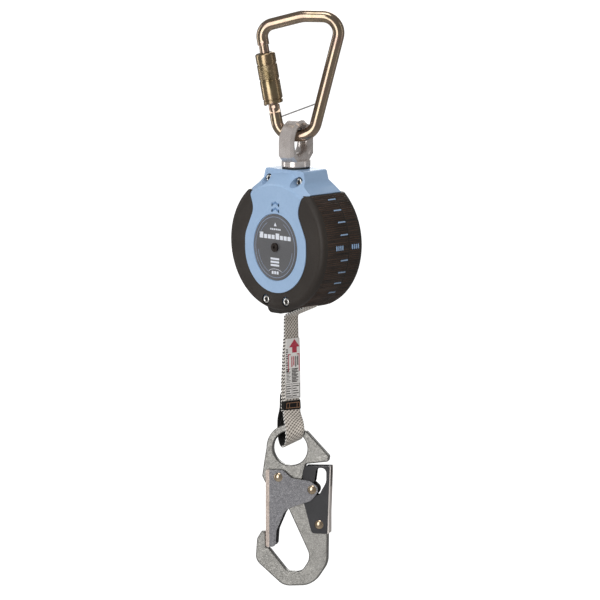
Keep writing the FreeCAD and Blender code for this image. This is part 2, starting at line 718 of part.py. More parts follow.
def build_lifeline():
    strap = strap_along(exit_route(), STRAP_W / 2)
    save("webbing_exit", on_drum(move(strap, (0, STRAP_Y, 0))))
    top, bottom = LEADER_Z
    low = LABEL_SPAN[1]
    leader = flat_strap(STRAP_W, STRAP_T, DRUM_Z + bottom, DRUM_Z + top)
    save("webbing_leader", on_line(leader, 90))
    middle = flat_strap(STRAP_W, STRAP_T, DRUM_Z + low, DRUM_Z + bottom)
    save("webbing_middle", on_line(middle, LABEL_TURN))
    sleeve = flat_strap(STRAP_W + 1.0, STRAP_T + 1.0, DRUM_Z + low, DRUM_Z + bottom)
    save("label_sleeve", on_line(sleeve.cut(flat_strap(STRAP_W, STRAP_T, -400, 0)), LABEL_TURN))
    high, deep = KEEPER_SPAN
    doubled = on_line(flat_strap(STRAP_W, 2 * STRAP_T, THROAT_Z, DRUM_Z + low), KEEPER_TURN)
    loop = loop_prism(LOOP_R + STRAP_T, STRAP_T, STRAP_W, THROAT_Z)
    loop = loop.cut(loop_prism(LOOP_R, 0.05, STRAP_W, THROAT_Z))
    save("webbing_loop", fuse([doubled, on_line(loop, LOOP_TURN)]))
    keeper = flat_strap(STRAP_W + 2.4, 2 * STRAP_T + 2.4, DRUM_Z + deep, DRUM_Z + high)
    keeper = keeper.cut(flat_strap(STRAP_W, 2 * STRAP_T, -400, 0))
    save("web_keeper", on_line(keeper, KEEPER_TURN))
    pad = loop_prism(LOOP_R - 0.05, 2.3, STRAP_W - 1, THROAT_Z - 3)
    pad = pad.cut(loop_prism(LOOP_R - 1.05, 1.3, STRAP_W - 1, THROAT_Z - 3))
    save("wear_pad", on_line(pad, LOOP_TURN))


# ---------------------------------------------------------------- snap hook


def on_hook(shape):
    """From the hook's own plane, drawn as XZ about its eye, to the row's frame."""
    return move(shape, (STRAP_X, STRAP_Y, HOOK_Z), HOOK_TURN)


def hook_frame():
    """The forged hook: eye and wing above, a waist beside the gate, and the bowl with its lip."""
    outline = [
        (0.0, 21.2, 0), (14.6, 15.4, 0), (34.6, -5.8, 2.5), (33.6, -10.6, 2), (13.8, -13.2, 3),
        (10.6, -28.0, 6), (15.5, -50.0, 9), (33.5, -62.0, 6), (33.0, -100.0, 18), (20.0, -119.6, 20),
        (-6.0, -121.0, 14), (-31.0, -99.0, 10), (-29.6, -80.0, 6), (-24.4, -71.5, 2), (-21.6, -76.0, 2),
        (-21.6, -87.4, 1.5), (-18.6, -88.2, 3), (-2.6, -107.6, 7), (9.6, -108.4, 9), (18.2, -95.0, 12),
        (-1.0, -54.0, 12), (-5.6, -36.0, 8), (-22.0, -31.0, 2), (-25.0, -25.0, 2), (-23.2, -12.0, 5),
        (-21.2, 0.0, 0),
    ]
    arc = Part.Arc(Vector(-21.2, 0, 0), Vector(-15.0, 0, 15.0), Vector(0, 0, 21.2)).toShape()
    opened = path_edges(outline)
    body = Part.Face(Part.Wire(opened + [arc])).extrude(Vector(0, HOOK_T, 0))
    body = move(body, (0, -HOOK_T / 2, 0))
    body = round_edges(body, 1.2, lambda edge: abs(abs(edge.CenterOfMass.y) - HOOK_T / 2) < 0.01)
    eye = along_y(HOOK_EYE_R, -9, 9)
    body = body.cut(eye)
    body = round_edges(body, 1.2, lambda edge: circle_at(edge, HOOK_EYE_R, HOOK_T / 2)
                       or circle_at(edge, HOOK_EYE_R, -HOOK_T / 2))
    pivots = [along_y(RIVET_R, -9, 9, *PIVOT_A), along_y(RIVET_R, -9, 9, *PIVOT_C)]
    return cut(body, pivots)


def channel(outline, web, inner, outer):
    """A folded sheet: two flanges either side of the hook and the web that joins them."""
    flanges = [plate(outline, -outer, -inner), plate(outline, inner, outer)]
    x0, x1, z0, z1 = web
    return fuse(flanges + [block(x0, x1, -outer, outer, z0, z1)])


def hook_gate():
    """The gate: flanges that reach over to the lock rivet and a web down its outer edge."""
    outline = [
        (-20.9, -18.6, 2), (-6.0, -18.6, 4), (2.0, -25.4, 6), (19.0, -27.6, 5), (27.0, -34.8, 5),
        (19.5, -44.6, 6), (-3.5, -53.0, 14), (-11.5, -72.0, 10), (-12.5, -86.0, 3), (-20.9, -86.8, 2),
    ]
    inner, outer = HOOK_GATE_Y
    gate = channel(outline, (-20.9, -19.3, -85.0, -36.0), inner, outer)
    return cut(gate, [along_y(RIVET_R + 0.06, -9, 9, *PIVOT_A), along_y(RIVET_R, -9, 9, *RIVET_B)])


def lock_lever():
    """The lock lever: dark flanges with a slot for the gate's rivet and a web on the outer edge."""
    outline = [
        (11.6, -18.6, 3), (14.0, -14.6, 2), (36.4, -14.2, 0.5), (34.2, -73.6, 0.5), (19.6, -73.6, 3),
        (12.4, -46.5, 4),
    ]
    inner, outer = LEVER_Y
    lever = channel(outline, (33.6, 34.9, -73.0, -14.6), inner, outer)
    slot = [
        (16.6, -38.6, 3.2), (16.6, -31.4, 3.2), (21.5, -29.5, 4), (23.3, -15.9, 4.4), (32.4, -15.9, 4.4),
        (32.4, -28.0, 10), (25.5, -40.5, 3.5),
    ]
    holes = [plate(slot, -9, 9), along_y(RIVET_R + 0.06, -9, 9, *PIVOT_C)]
    return cut(lever, holes)


def rivet(place_xz, reach):
    """A rivet along Y with a domed head on each side."""
    x, z = place_xz
    shank = along_y(RIVET_R, -reach, reach, x, z)
    ball = Part.makeSphere(5.2, Vector(x, reach - 3.4, z))
    dome = ball.common(along_y(RIVET_HEAD_R, reach, reach + 3, x, z))
    far = dome.mirror(Vector(0, 0, 0), Vector(0, 1, 0))
    return fuse([shank, dome, far])


def torsion_spring(spot, gap, leg):
    """A small wound spring beside the hook's plate, about a rivet."""
    x, z = spot
    coil = ring_y(3.6, 2.7, -gap, -HOOK_T / 2 - 0.1)
    wire = block(2.8, leg, -gap, -HOOK_T / 2 - 0.3, -0.5, 0.4)
    return move(fuse([coil, wire]), (x, 0, z))


def build_hook():
    save("hook_frame", on_hook(hook_frame()))
    save("hook_gate", on_hook(hook_gate()))
    save("lock_lever", on_hook(lock_lever()))
    save("gate_pivot_rivet", on_hook(rivet(PIVOT_A, HOOK_GATE_Y[1] + 0.15)))
    save("gate_lock_rivet", on_hook(rivet(RIVET_B, HOOK_GATE_Y[1])))
    save("lever_pivot_rivet", on_hook(rivet(PIVOT_C, LEVER_Y[1] + 0.15)))
    save("hook_gate_spring", on_hook(torsion_spring(PIVOT_A, HOOK_GATE_Y[0] - 0.3, 8.5)))


build_carabiner()
build_swivel()
build_housing()
build_mechanism()
build_lifeline()
build_hook()
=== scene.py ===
"""Looks of the self retracting lifeline: its finishes, webbing, label prints, rim ribs and studio."""
import bmesh
import bpy
import json
import math
import random
from mathutils import Matrix, Vector


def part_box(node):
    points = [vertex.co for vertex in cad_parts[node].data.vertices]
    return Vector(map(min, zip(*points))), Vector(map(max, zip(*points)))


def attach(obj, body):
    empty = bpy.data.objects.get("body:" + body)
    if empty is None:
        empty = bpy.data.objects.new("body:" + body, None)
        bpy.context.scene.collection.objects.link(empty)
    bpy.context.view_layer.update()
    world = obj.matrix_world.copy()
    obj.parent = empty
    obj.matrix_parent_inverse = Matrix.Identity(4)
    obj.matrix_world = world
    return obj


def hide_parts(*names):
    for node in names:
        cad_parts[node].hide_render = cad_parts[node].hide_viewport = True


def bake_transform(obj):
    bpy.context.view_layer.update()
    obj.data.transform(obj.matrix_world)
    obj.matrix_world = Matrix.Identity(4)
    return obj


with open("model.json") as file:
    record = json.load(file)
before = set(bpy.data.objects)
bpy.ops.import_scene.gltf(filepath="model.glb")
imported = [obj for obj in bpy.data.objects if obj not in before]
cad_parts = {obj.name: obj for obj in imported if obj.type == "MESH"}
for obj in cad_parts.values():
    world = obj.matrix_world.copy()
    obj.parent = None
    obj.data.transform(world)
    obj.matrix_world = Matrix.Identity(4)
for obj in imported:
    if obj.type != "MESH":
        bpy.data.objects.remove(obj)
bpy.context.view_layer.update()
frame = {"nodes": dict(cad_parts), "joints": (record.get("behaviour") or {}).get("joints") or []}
MM = 0.001
nodes = frame["nodes"]
joints = {joint["name"]: joint for joint in frame["joints"]}

# The housing, in millimetres in the row frame
AXIS_Z = joints["drum_spin"]["pos_m"][2] / MM
SKIN_R = 57.8
FRONT_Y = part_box("front_housing")[0][1] / MM
PARTING_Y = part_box("rear_housing")[0][1] / MM
LABEL_Z = AXIS_Z - 2.6
MARK_STEP = math.radians(11)

# The webbing, in millimetres in the row frame
STRAP_W, STRAP_T = 17.0, 1.8
SELVEDGE, YARN_PITCH = 0.75, 2.9
LINE_X, LINE_Y = -6.0, -0.2
FOLD_Z, THROAT_Z, LOOP_Z = -254.4, -339.5, -354.5
LOOP_R = 13.35


# ---------------------------------------------------------------- camera and studio

# A long lens from far off, so that the object shows little perspective
CAMERA_DISTANCE = 8.65
target = Vector((0.00245, 0.00245, -0.241))
azimuth, elevation = math.radians(45), math.radians(8)
towards = Vector((math.sin(azimuth) * math.cos(elevation), -math.cos(azimuth) * math.cos(elevation),
                  math.sin(elevation)))
lens = bpy.data.cameras.new("camera")
lens.lens = 600
lens.sensor_width = 36
lens.clip_end = 200
camera = bpy.data.objects.new("camera", lens)
camera.location = target + towards * CAMERA_DISTANCE
camera.rotation_euler = towards.to_track_quat("Z", "Y").to_euler()
bpy.context.scene.collection.objects.link(camera)
bpy.context.scene.camera = camera
bpy.context.scene.view_settings.view_transform = "Standard"


def srgb(red, green, blue):
    """A display colour, 0 to 255, as the linear colour that a shader takes."""
    linear = []
    for value in (red, green, blue):
        value /= 255
        linear.append(value / 12.92 if value <= 0.04045 else ((value + 0.055) / 1.055) ** 2.4)
    return (*linear, 1.0)


def area_light(name, turn, height, distance, wide, tall, power):
    """A softbox, placed by its azimuth and height angle and aimed at the object."""
    light = bpy.data.lights.new(name, "AREA")
    light.shape = "RECTANGLE"
    light.size, light.size_y = wide, tall
    light.energy = power
    turn, height = math.radians(turn), math.radians(height)
    way = Vector((math.sin(turn) * math.cos(height), -math.cos(turn) * math.cos(height), math.sin(height)))
    holder = bpy.data.objects.new(name, light)
    holder.location = target + way * distance
    holder.rotation_euler = way.to_track_quat("Z", "Y").to_euler()
    bpy.context.scene.collection.objects.link(holder)


area_light("key", 16, 12, 2.3, 1.3, 2.6, 40)
area_light("right", 122, 8, 2.2, 0.35, 2.2, 3)
area_light("left", -62, 8, 2.2, 0.45, 2.2, 10)
area_light("top", 50, 76, 1.9, 0.9, 0.9, 12)
area_light("back", 215, 25, 2.4, 1.0, 1.6, 16)


class Finish:
    """A material's node tree, with short calls for the nodes that the finishes share."""

    def __init__(self, name):
        self.material = bpy.data.materials.new(name)
        self.material.use_nodes = True
        self.tree = self.material.node_tree
        self.shader = self.tree.nodes["Principled BSDF"]
        self.place = self.add("ShaderNodeTexCoord").outputs["Object"]

    def add(self, kind, **settings):
        node = self.tree.nodes.new(kind)
        for key, value in settings.items():
            setattr(node, key, value)
        return node

    def put(self, socket, value):
        if isinstance(value, bpy.types.NodeSocket):
            self.tree.links.new(value, socket)
        else:
            socket.default_value = value

    def set(self, **values):
        """Sets sockets of the shader, written with _ for the spaces in their names."""
        for key, value in values.items():
            self.put(self.shader.inputs[key.replace("_", " ")], value)
        return self

    def calc(self, kind, *terms, clamp=False):
        node = self.add("ShaderNodeMath", operation=kind, use_clamp=clamp)
        for socket, value in zip(node.inputs, terms):
            self.put(socket, value)
        return node.outputs[0]

    def scaled(self, x, y, z):
        node = self.add("ShaderNodeMapping")
        self.put(node.inputs["Vector"], self.place)
        node.inputs["Scale"].default_value = (x, y, z)
        return node.outputs[0]

    def noise(self, scale, detail=2.0, rough=0.5, place=None, twist=0.0):
        node = self.add("ShaderNodeTexNoise")
        self.put(node.inputs["Vector"], place or self.place)
        for key, value in (("Scale", scale), ("Detail", detail), ("Roughness", rough), ("Distortion", twist)):
            node.inputs[key].default_value = value
        return node.outputs["Fac"]

    def cells(self, scale, result="Color"):
        node = self.add("ShaderNodeTexVoronoi")
        self.put(node.inputs["Vector"], self.place)
        node.inputs["Scale"].default_value = scale
        return node.outputs[result]

    def ramp(self, factor, *stops):
        """Colours along a factor, as (position, colour) pairs."""
        node = self.add("ShaderNodeValToRGB")
        self.put(node.inputs["Fac"], factor)
        while len(node.color_ramp.elements) < len(stops):
            node.color_ramp.elements.new(0.5)
        for element, (spot, colour) in zip(node.color_ramp.elements, stops):
            element.position = spot
            element.color = colour
        return node.outputs["Color"]

    def span(self, factor, low, high, start=0.3, end=0.7):
        """A number that goes from low to high as the factor goes from start to end."""
        node = self.add("ShaderNodeMapRange")
        for key, value in (("Value", factor), ("From Min", start), ("From Max", end), ("To Min", low),
                           ("To Max", high)):
            self.put(node.inputs[key], value)
        return node.outputs["Result"]

    def blend(self, factor, one, other):
        node = self.add("ShaderNodeMix", data_type="RGBA")
        self.put(node.inputs["Factor"], factor)
        self.put(node.inputs[6], one)
        self.put(node.inputs[7], other)
        return node.outputs[2]

    def painted_highlight_edge(self, colour, way, limit, highlight_colour):
        """The colour, painted with a bright highlight where the distance along that way passes the limit."""
        reach = self.add("ShaderNodeVectorMath", operation="DOT_PRODUCT")
        self.put(reach.inputs[0], self.place)
        self.put(reach.inputs[1], way)
        past = self.calc("GREATER_THAN", reach.outputs["Value"], limit)
        return self.blend(past, colour, highlight_colour)

    def relief(self, height, depth):
        """A bump of that height in metres where the height factor runs from 0 to 1."""
        node = self.add("ShaderNodeBump")
        node.inputs["Distance"].default_value = depth
        node.inputs["Strength"].default_value = 1.0
        self.put(node.inputs["Height"], height)
        self.put(self.shader.inputs["Normal"], node.outputs["Normal"])
        return self


def moulded(name, main, shade, rough=0.42, grain=1500, depth=0.00003, coat=0.0, shine=0.5,
            streak=(1, 1, 1), worn=0.35, edge=None):
    """Moulded plastic or rubber: a fine grain, and a slow change of colour and gloss."""
    finish = Finish(name)
    slow = finish.noise(22, 3, 0.6)
    fine = finish.noise(grain, 2, 0.6)
    speck = finish.noise(grain * 0.35, 3, 0.7, finish.scaled(*streak))
    colour = finish.blend(finish.span(slow, 0.0, 0.6), main, shade)
    colour = finish.blend(finish.span(speck, 0.0, worn, 0.45, 0.65), colour, shade)
    # A painted highlight along an edge that catches the light, where one is given
    if edge:
        colour = finish.painted_highlight_edge(colour, *edge)
    finish.set(Base_Color=colour, Roughness=finish.span(slow, rough - 0.06, rough + 0.08),
               Specular_IOR_Level=shine)
    if coat:
        finish.set(Coat_Weight=coat, Coat_Roughness=0.25)
    return finish.relief(fine, depth).material


def machined(name, main, shade, rough=0.3, stretch=(1, 1, 1), metal=1.0):
    """Metal with fine lines along the axis that stretch leaves short, and faint stains."""
    finish = Finish(name)
    lines = finish.noise(900, 3, 0.7, finish.scaled(*stretch))
    stain = finish.noise(60, 4, 0.6, twist=0.6)
    colour = finish.blend(finish.span(stain, 0.0, 0.8), main, shade)
    colour = finish.blend(finish.span(lines, 0.0, 0.3, 0.4, 0.8), colour, shade)
    finish.set(Base_Color=colour, Metallic=metal, Roughness=finish.span(lines, rough - 0.07, rough + 0.1))
    return finish.relief(lines, 0.00001).material


def yellow_zinc(name, cream, rose, olive, rough):
    """Chromated zinc: cream with rose and olive drifts, finely drawn, with small dark nicks."""
    finish = Finish(name)
    drift = finish.noise(46, 5, 0.62, twist=1.2)
    fine = finish.noise(420, 3, 0.7, finish.scaled(1, 1, 0.25))
    nick = finish.cells(520, result="Distance")
    colour = finish.ramp(drift, (0.24, olive), (0.42, cream), (0.62, rose), (0.80, olive))
    colour = finish.blend(finish.span(fine, 0.0, 0.30, 0.45, 0.8), colour, olive)
    colour = finish.blend(finish.span(nick, 0.35, 0.0, 0.02, 0.06), colour, srgb(88, 72, 50))
    finish.set(Base_Color=colour, Metallic=1.0, Roughness=finish.span(drift, rough - 0.05, rough + 0.1))
    return finish.relief(fine, 0.000012).material


def galvanised(name, light, dark, rough=0.42, cell=1000, edge=None):
    """Zinc spangle: crystals a couple of millimetres wide, each with its own grey and gloss."""
    finish = Finish(name)
    tone = finish.add("ShaderNodeSeparateColor")
    finish.put(tone.inputs[0], finish.cells(cell))
    grit = finish.noise(1900, 3, 0.7)
    cloud = finish.noise(55, 3, 0.6)
    colour = finish.blend(finish.span(tone.outputs[0], 0.0, 0.55, 0.1, 0.9), light, dark)
    colour = finish.blend(finish.span(cloud, 0.0, 0.45), colour, dark)
    colour = finish.blend(finish.span(grit, 0.0, 0.35, 0.5, 0.8), colour, srgb(250, 250, 248))
    # A painted highlight along an edge that catches the light, where one is given
    if edge:
        colour = finish.painted_highlight_edge(colour, *edge)
    finish.set(Base_Color=colour, Metallic=0.85,
               Roughness=finish.span(tone.outputs[1], rough - 0.08, rough + 0.12, 0.0, 1.0))
    height = finish.calc("ADD", finish.calc("MULTIPLY", grit, 0.7),
                         finish.calc("MULTIPLY", tone.outputs[2], 0.3))
    return finish.relief(height, 0.00004).material


def woven(name, light, dark, edge_light=None, edge_dark=None, pitch=3.3, sheen=0.2):
    """Twill webbing, from the strap's own UV in metres, with a marked yarn in each selvedge.

    Along the line the pattern also follows the height, so that webbing paid out keeps its scale.
    """
    finish = Finish(name)
    flat = finish.add("ShaderNodeSeparateXYZ")
    finish.put(flat.inputs[0], finish.add("ShaderNodeUVMap", uv_map="UVMap").outputs[0])
    rest = finish.add("ShaderNodeSeparateXYZ")
    finish.put(rest.inputs[0], finish.add("ShaderNodeUVMap", uv_map="Rest").outputs[0])
    now = finish.add("ShaderNodeSeparateXYZ")
    finish.put(now.inputs[0], finish.place)
    across = flat.outputs[0]
    along = finish.calc("ADD", flat.outputs[1], finish.calc("SUBTRACT", rest.outputs[0], now.outputs[2]))
    turns = 2 * math.pi / (pitch * MM)
    twill = finish.calc("SINE", finish.calc("MULTIPLY", finish.calc("ADD", along, across), turns))
    cross = finish.calc("SINE", finish.calc("MULTIPLY", finish.calc("SUBTRACT", along, across), turns))
    pick = finish.calc("SINE", finish.calc("MULTIPLY", along, turns * 1.5))
    weave = finish.calc("ADD", finish.calc("MULTIPLY", twill, 0.27),
                        finish.calc("ADD", finish.calc("MULTIPLY", cross, 0.17),
                                    finish.calc("ADD", finish.calc("MULTIPLY", pick, 0.06), 0.5)))
    fuzz = finish.noise(2600, 3, 0.7)
    soil = finish.noise(70, 3, 0.6)
    # The twill's colour, darker where its relief is low: partly the yarns' own pattern, partly painted shade
    # in the weave's hollows
    colour = finish.blend(finish.span(weave, 1.0, 0.0, 0.18, 0.66), light, dark)
    colour = finish.blend(finish.span(soil, 0.0, 0.3), colour, dark)
    colour = finish.blend(finish.span(fuzz, 0.0, 0.25, 0.45, 0.75), colour, light)
    if edge_light:
        side = finish.calc("GREATER_THAN", finish.calc("ABSOLUTE", across), (STRAP_W / 2 - SELVEDGE) * MM)
        slant = finish.calc("ADD", along, finish.calc("MULTIPLY", across, 1.5))
        step = finish.calc("FRACT", finish.calc("DIVIDE", slant, YARN_PITCH * MM))
        pole = finish.blend(finish.calc("GREATER_THAN", step, 0.5), edge_light, edge_dark)
        colour = finish.blend(side, colour, pole)
    finish.set(Base_Color=colour, Roughness=finish.span(fuzz, 0.78, 0.95), Sheen_Weight=sheen,
               Sheen_Roughness=0.5, Specular_IOR_Level=0.3)
    return finish.relief(finish.calc("ADD", weave, finish.calc("MULTIPLY", fuzz, 0.25)), 0.00016).material


def printed(name, colour, worn):
    """Ink on a label: nearly even, with a little wear."""
    finish = Finish(name)
    wear = finish.noise(1400, 3, 0.7)
    finish.set(Base_Color=finish.blend(finish.span(wear, 0.0, 0.5, 0.5, 0.75), colour, worn), Roughness=0.55)
    return finish.relief(wear, 0.00001).material


# Painted highlights on the outer edges of the hook's gate and lever, where their bent edges catch the light:
# a way, the distance along it in metres where the highlight starts, and its colour
GATE_HIGHLIGHT = ((-0.8387, -0.5446, 0.0), 0.02285, srgb(158, 146, 138))
LEVER_HIGHLIGHT = ((0.8387, 0.5446, -0.037), 0.0447, srgb(206, 198, 192))

looks = {
    "zinc_steel": yellow_zinc("zinc_steel", srgb(158, 142, 122),
                              srgb(152, 130, 118), srgb(112, 98, 62), 0.15),
    "sleeve_zinc": yellow_zinc("sleeve_zinc", srgb(150, 134, 106),
                               srgb(140, 120, 96), srgb(98, 84, 56), 0.22),
    "satin_steel": machined("satin_steel", srgb(226, 219, 215), srgb(178, 168, 163), 0.2, (1, 1, 4),
                            metal=0.62),
    "seal_rubber": moulded("seal_rubber", srgb(34, 33, 32), srgb(22, 21, 20), 0.6),
    "blue_plastic": moulded("blue_plastic", srgb(150, 176, 206), srgb(136, 163, 194), 0.36, 1300, 0.00003),
    "skin_rubber": moulded("skin_rubber", srgb(48, 42, 37), srgb(34, 28, 24), 0.55, 1700, 0.00006, shine=0.3),
    "guide_plastic": moulded("guide_plastic", srgb(40, 34, 30), srgb(28, 23, 20), 0.5, shine=0.3),
    "screw_steel": machined("screw_steel", srgb(236, 234, 230), srgb(190, 186, 180), 0.16, (1, 6, 1)),
    "insert_brass": machined("insert_brass", srgb(205, 176, 110), srgb(160, 130, 76), 0.3),
    "label_dark": moulded("label_dark", srgb(88, 88, 90), srgb(66, 66, 69), 0.42, 2600, 0.00002, coat=0.15),
    "bracket_steel": machined("bracket_steel", srgb(190, 190, 190), srgb(140, 140, 140), 0.35, (1, 1, 5)),
    "bush_bronze": machined("bush_bronze", srgb(178, 134, 84), srgb(132, 96, 58), 0.35),
    "shaft_steel": machined("shaft_steel", srgb(200, 200, 202), srgb(150, 150, 152), 0.22, (1, 6, 1)),
    "drum_plastic": moulded("drum_plastic", srgb(214, 212, 206), srgb(188, 186, 180), 0.45),
    "friction_lining": moulded("friction_lining", srgb(96, 84, 70), srgb(66, 56, 46), 0.85, 900, 0.0001),
    "brake_steel": machined("brake_steel", srgb(168, 168, 170), srgb(118, 118, 120), 0.35, (5, 1, 1)),
    "spring_steel": machined("spring_steel", srgb(120, 124, 134), srgb(84, 88, 98), 0.25, (1, 5, 1)),
    "label_white": moulded("label_white", srgb(236, 233, 229), srgb(214, 209, 204), 0.42, 2200, 0.00002,
                           coat=0.2),
    "keeper_black": moulded("keeper_black", srgb(22, 20, 19), srgb(13, 12, 11), 0.6, 1800, 0.00008,
                            shine=0.2),
    "hook_steel": galvanised("hook_steel", srgb(132, 130, 125), srgb(98, 96, 93), 0.38),
    "gate_steel": galvanised("gate_steel", srgb(102, 101, 104), srgb(82, 81, 84), 0.42, 1300,
                             GATE_HIGHLIGHT),
    "lever_dark": moulded("lever_dark", srgb(38, 37, 40), srgb(28, 27, 30), 0.4, 1700, 0.00004,
                          shine=0.3, edge=LEVER_HIGHLIGHT),
    "rivet_gold": machined("rivet_gold", srgb(206, 190, 168), srgb(156, 134, 106), 0.18, (1, 1, 3)),
    "webbing": woven("webbing", srgb(226, 217, 206), srgb(70, 62, 54), srgb(232, 228, 222), srgb(20, 18, 16)),
}
black_web = woven("black_web", srgb(26, 24, 22), srgb(8, 7, 7), pitch=2.4, sheen=0.02)
rib_rubber = moulded("rib_rubber", srgb(78, 56, 42), srgb(18, 13, 10), 0.5, 1900, 0.00008, shine=0.3,
                     streak=(1, 0.05, 1), worn=0.95)
black_screw = machined("black_screw", srgb(66, 58, 54), srgb(38, 33, 31), 0.3, (1, 4, 1), metal=0.8)
wire_grey = machined("wire_grey", srgb(128, 126, 124), srgb(86, 84, 82), 0.3, (6, 6, 1))
ink_pale = printed("ink_pale", srgb(214, 218, 226), srgb(150, 152, 158))
ink_blue = printed("ink_blue", srgb(132, 146, 170), srgb(104, 112, 130))
ink_red = printed("ink_red", srgb(176, 40, 64), srgb(206, 120, 126))
ink_grey = printed("ink_grey", srgb(74, 69, 66), srgb(120, 114, 109))
ink_brown = printed("ink_brown", srgb(146, 108, 80), srgb(96, 68, 48))
motif_blue = printed("motif_blue", srgb(96, 128, 168), srgb(112, 144, 182))

for node in nodes.values():
    for holder in node.material_slots:
        holder.material = looks[holder.material.name.split(".")[0]]
nodes["label_screw"].material_slots[0].material = black_screw
nodes["captive_wire_pin"].material_slots[0].material = wire_grey


# ---------------------------------------------------------------- mesh helpers

def piece(name, mesh, body, material, smooth=True):
    """A finished piece: its material and its body."""
    made = bpy.data.objects.new(name, mesh)
    bpy.context.scene.collection.objects.link(made)
    mesh.materials.append(material)
    for face in mesh.polygons:
        face.use_smooth = smooth
    if smooth:
        mesh.set_sharp_from_angle(angle=math.radians(38))
    if body:
        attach(made, body)
    return made


def mesh_from(name, points, faces):
    """A mesh from points in millimetres."""
    mesh = bpy.data.meshes.new(name)
    mesh.from_pydata([Vector(point) * MM for point in points], [], faces)
    shape = bmesh.new()
    shape.from_mesh(mesh)
    bmesh.ops.recalc_face_normals(shape, faces=shape.faces)
    shape.to_mesh(mesh)
    shape.free()
    return mesh


def joined(name, parts):
    """One mesh from several (points, faces) pairs."""
    points, faces = [], []
    for more_points, more_faces in parts:
        start = len(points)
        points += more_points
        faces += [tuple(start + i for i in face) for face in more_faces]
    return mesh_from(name, points, faces)


def loft(rings, closed=False):
    """Points and faces of a skin over rings of points, capped at its ends unless it closes on itself."""
    count = len(rings[0])
    points = [point for ring in rings for point in ring]
    faces = []
    spans = len(rings) if closed else len(rings) - 1
    for i in range(spans):
        a, b = i * count, ((i + 1) % len(rings)) * count
        faces += [(a + j, a + (j + 1) % count, b + (j + 1) % count, b + j) for j in range(count)]
    if not closed:
        faces += [tuple(reversed(range(count))), tuple(range(len(points) - count, len(points)))]
    return points, faces


def turned(profile, origin, axis, steps=64, relief=None):
    """A closed turned shape about an axis, from (along, radius) corners in millimetres."""
    axis = Vector(axis).normalized()
    side = axis.orthogonal().normalized()
    other = axis.cross(side)
    rings = []
    for along, radius in profile:
        ring = []
        for k in range(steps):
            angle = 2 * math.pi * k / steps
            reach = radius + (relief(along, angle) if relief else 0.0)
            ring.append(Vector(origin) + axis * along
                        + (side * math.cos(angle) + other * math.sin(angle)) * reach)
        rings.append(ring)
    return loft(rings, closed=True)


def slabs(outlines, near, far):
    """Points and faces of thin slabs from flat outlines, with the places of their near and far faces."""
    made = []
    for outline in outlines:
        count = len(outline)
        points = [place(*spot) for place in (near, far) for spot in outline]
        faces = [tuple(range(count)), tuple(range(2 * count - 1, count - 1, -1))]
        faces += [(i, count + i, count + (i + 1) % count, (i + 1) % count) for i in range(count)]
        made.append((points, faces))
    return made


def blocks(name, sizes_and_places, bevel):
    """Several bevelled blocks in one mesh, each from its size and a matrix, in millimetres."""
    shape = bmesh.new()
    for size, spot in sizes_and_places:
        made = bmesh.ops.create_cube(shape, size=1.0)["verts"]
        bmesh.ops.transform(shape, matrix=spot @ Matrix.Diagonal((*size, 1)), verts=made)
    bmesh.ops.bevel(shape, geom=shape.edges[:], offset=bevel, segments=2, affect="EDGES")
    bmesh.ops.transform(shape, matrix=Matrix.Scale(MM, 4), verts=shape.verts)
    mesh = bpy.data.meshes.new(name)
    shape.to_mesh(mesh)
    shape.free()
    return mesh


# ---------------------------------------------------------------- housing

def rim_point(angle, radius, y):
    """A point about the drum's axis: angle 0 is +X and a quarter turn is up."""
    return (radius * math.cos(angle), y, AXIS_Z + radius * math.sin(angle))


# A rib's section: across the rim and out of it. Ribs stop below the neck and beside the webbing's way out.
RIB_SECTION = ((-0.56, -0.35), (-0.34, 0.55), (-0.12, 0.95), (0.12, 0.95), (0.34, 0.55), (0.56, -0.35))
NECK_FOOT = 43.6
MOUTH_LEFT, MOUTH_RIGHT = -24.5, 21.0


def rim_ribs(name, y0, y1, seed):
    """Fine ribs along the rim, a little uneven in height and in where they start."""
    chance = random.Random(seed)
    ribs = []
    pitch = MARK_STEP / 6
    for i in range(int(2 * math.pi / pitch)):
        angle = (i + 0.5) * pitch
        x, _, z = rim_point(angle, SKIN_R, 0)
        if z - AXIS_Z > NECK_FOOT or (z < AXIS_Z and MOUTH_LEFT < x < MOUTH_RIGHT):
            continue
        high = 0.26 + 0.30 * chance.random()
        slack = 0.6 * chance.random()
        stations = [(y0 + slack, 0.0), (y0 + slack + 1.2, 1.0), (y1 - 0.5, 1.0), (y1, 0.15)]
        ribs.append(loft([[rim_point(angle + across * 0.9 / SKIN_R,
                                     SKIN_R + lift * high * (rise if lift > 0 else 1), y)
                           for across, lift in RIB_SECTION] for y, rise in stations]))
    return piece(name, joined(name, ribs), "housing", rib_rubber)


rim_ribs("rim_ribs_front", -19.2, PARTING_Y - 0.5, 3)
rim_ribs("rim_ribs_rear", PARTING_Y + 0.5, 20.2, 8)

MARK_SIZE, TAB_SIZE = (3.0, 8.7, 1.35), (2.3, 1.3, 4.2)
bars = []
for step in (-4, -3, -2, -1, 1, 2, 3, 4):
    turn = Matrix.Rotation(-step * MARK_STEP, 4, "Y")
    at = Matrix.Translation((0, 0, AXIS_Z)) @ turn @ Matrix.Translation((56.85, PARTING_Y - 5.1, 0))
    bars.append((MARK_SIZE, at))
piece("rim_marks", blocks("rim_marks", bars, 0.25), "housing", looks["blue_plastic"])

tabs = []
for y in (-9.6, -7.2, -4.8, -2.4, 9.4, 11.8, 14.2, 16.6):
    tabs.append((TAB_SIZE, Matrix.Translation((57.2, y + PARTING_Y - 5.6, AXIS_Z))))
piece("rim_tabs", blocks("rim_tabs", tabs, 0.22), "housing", looks["blue_plastic"])


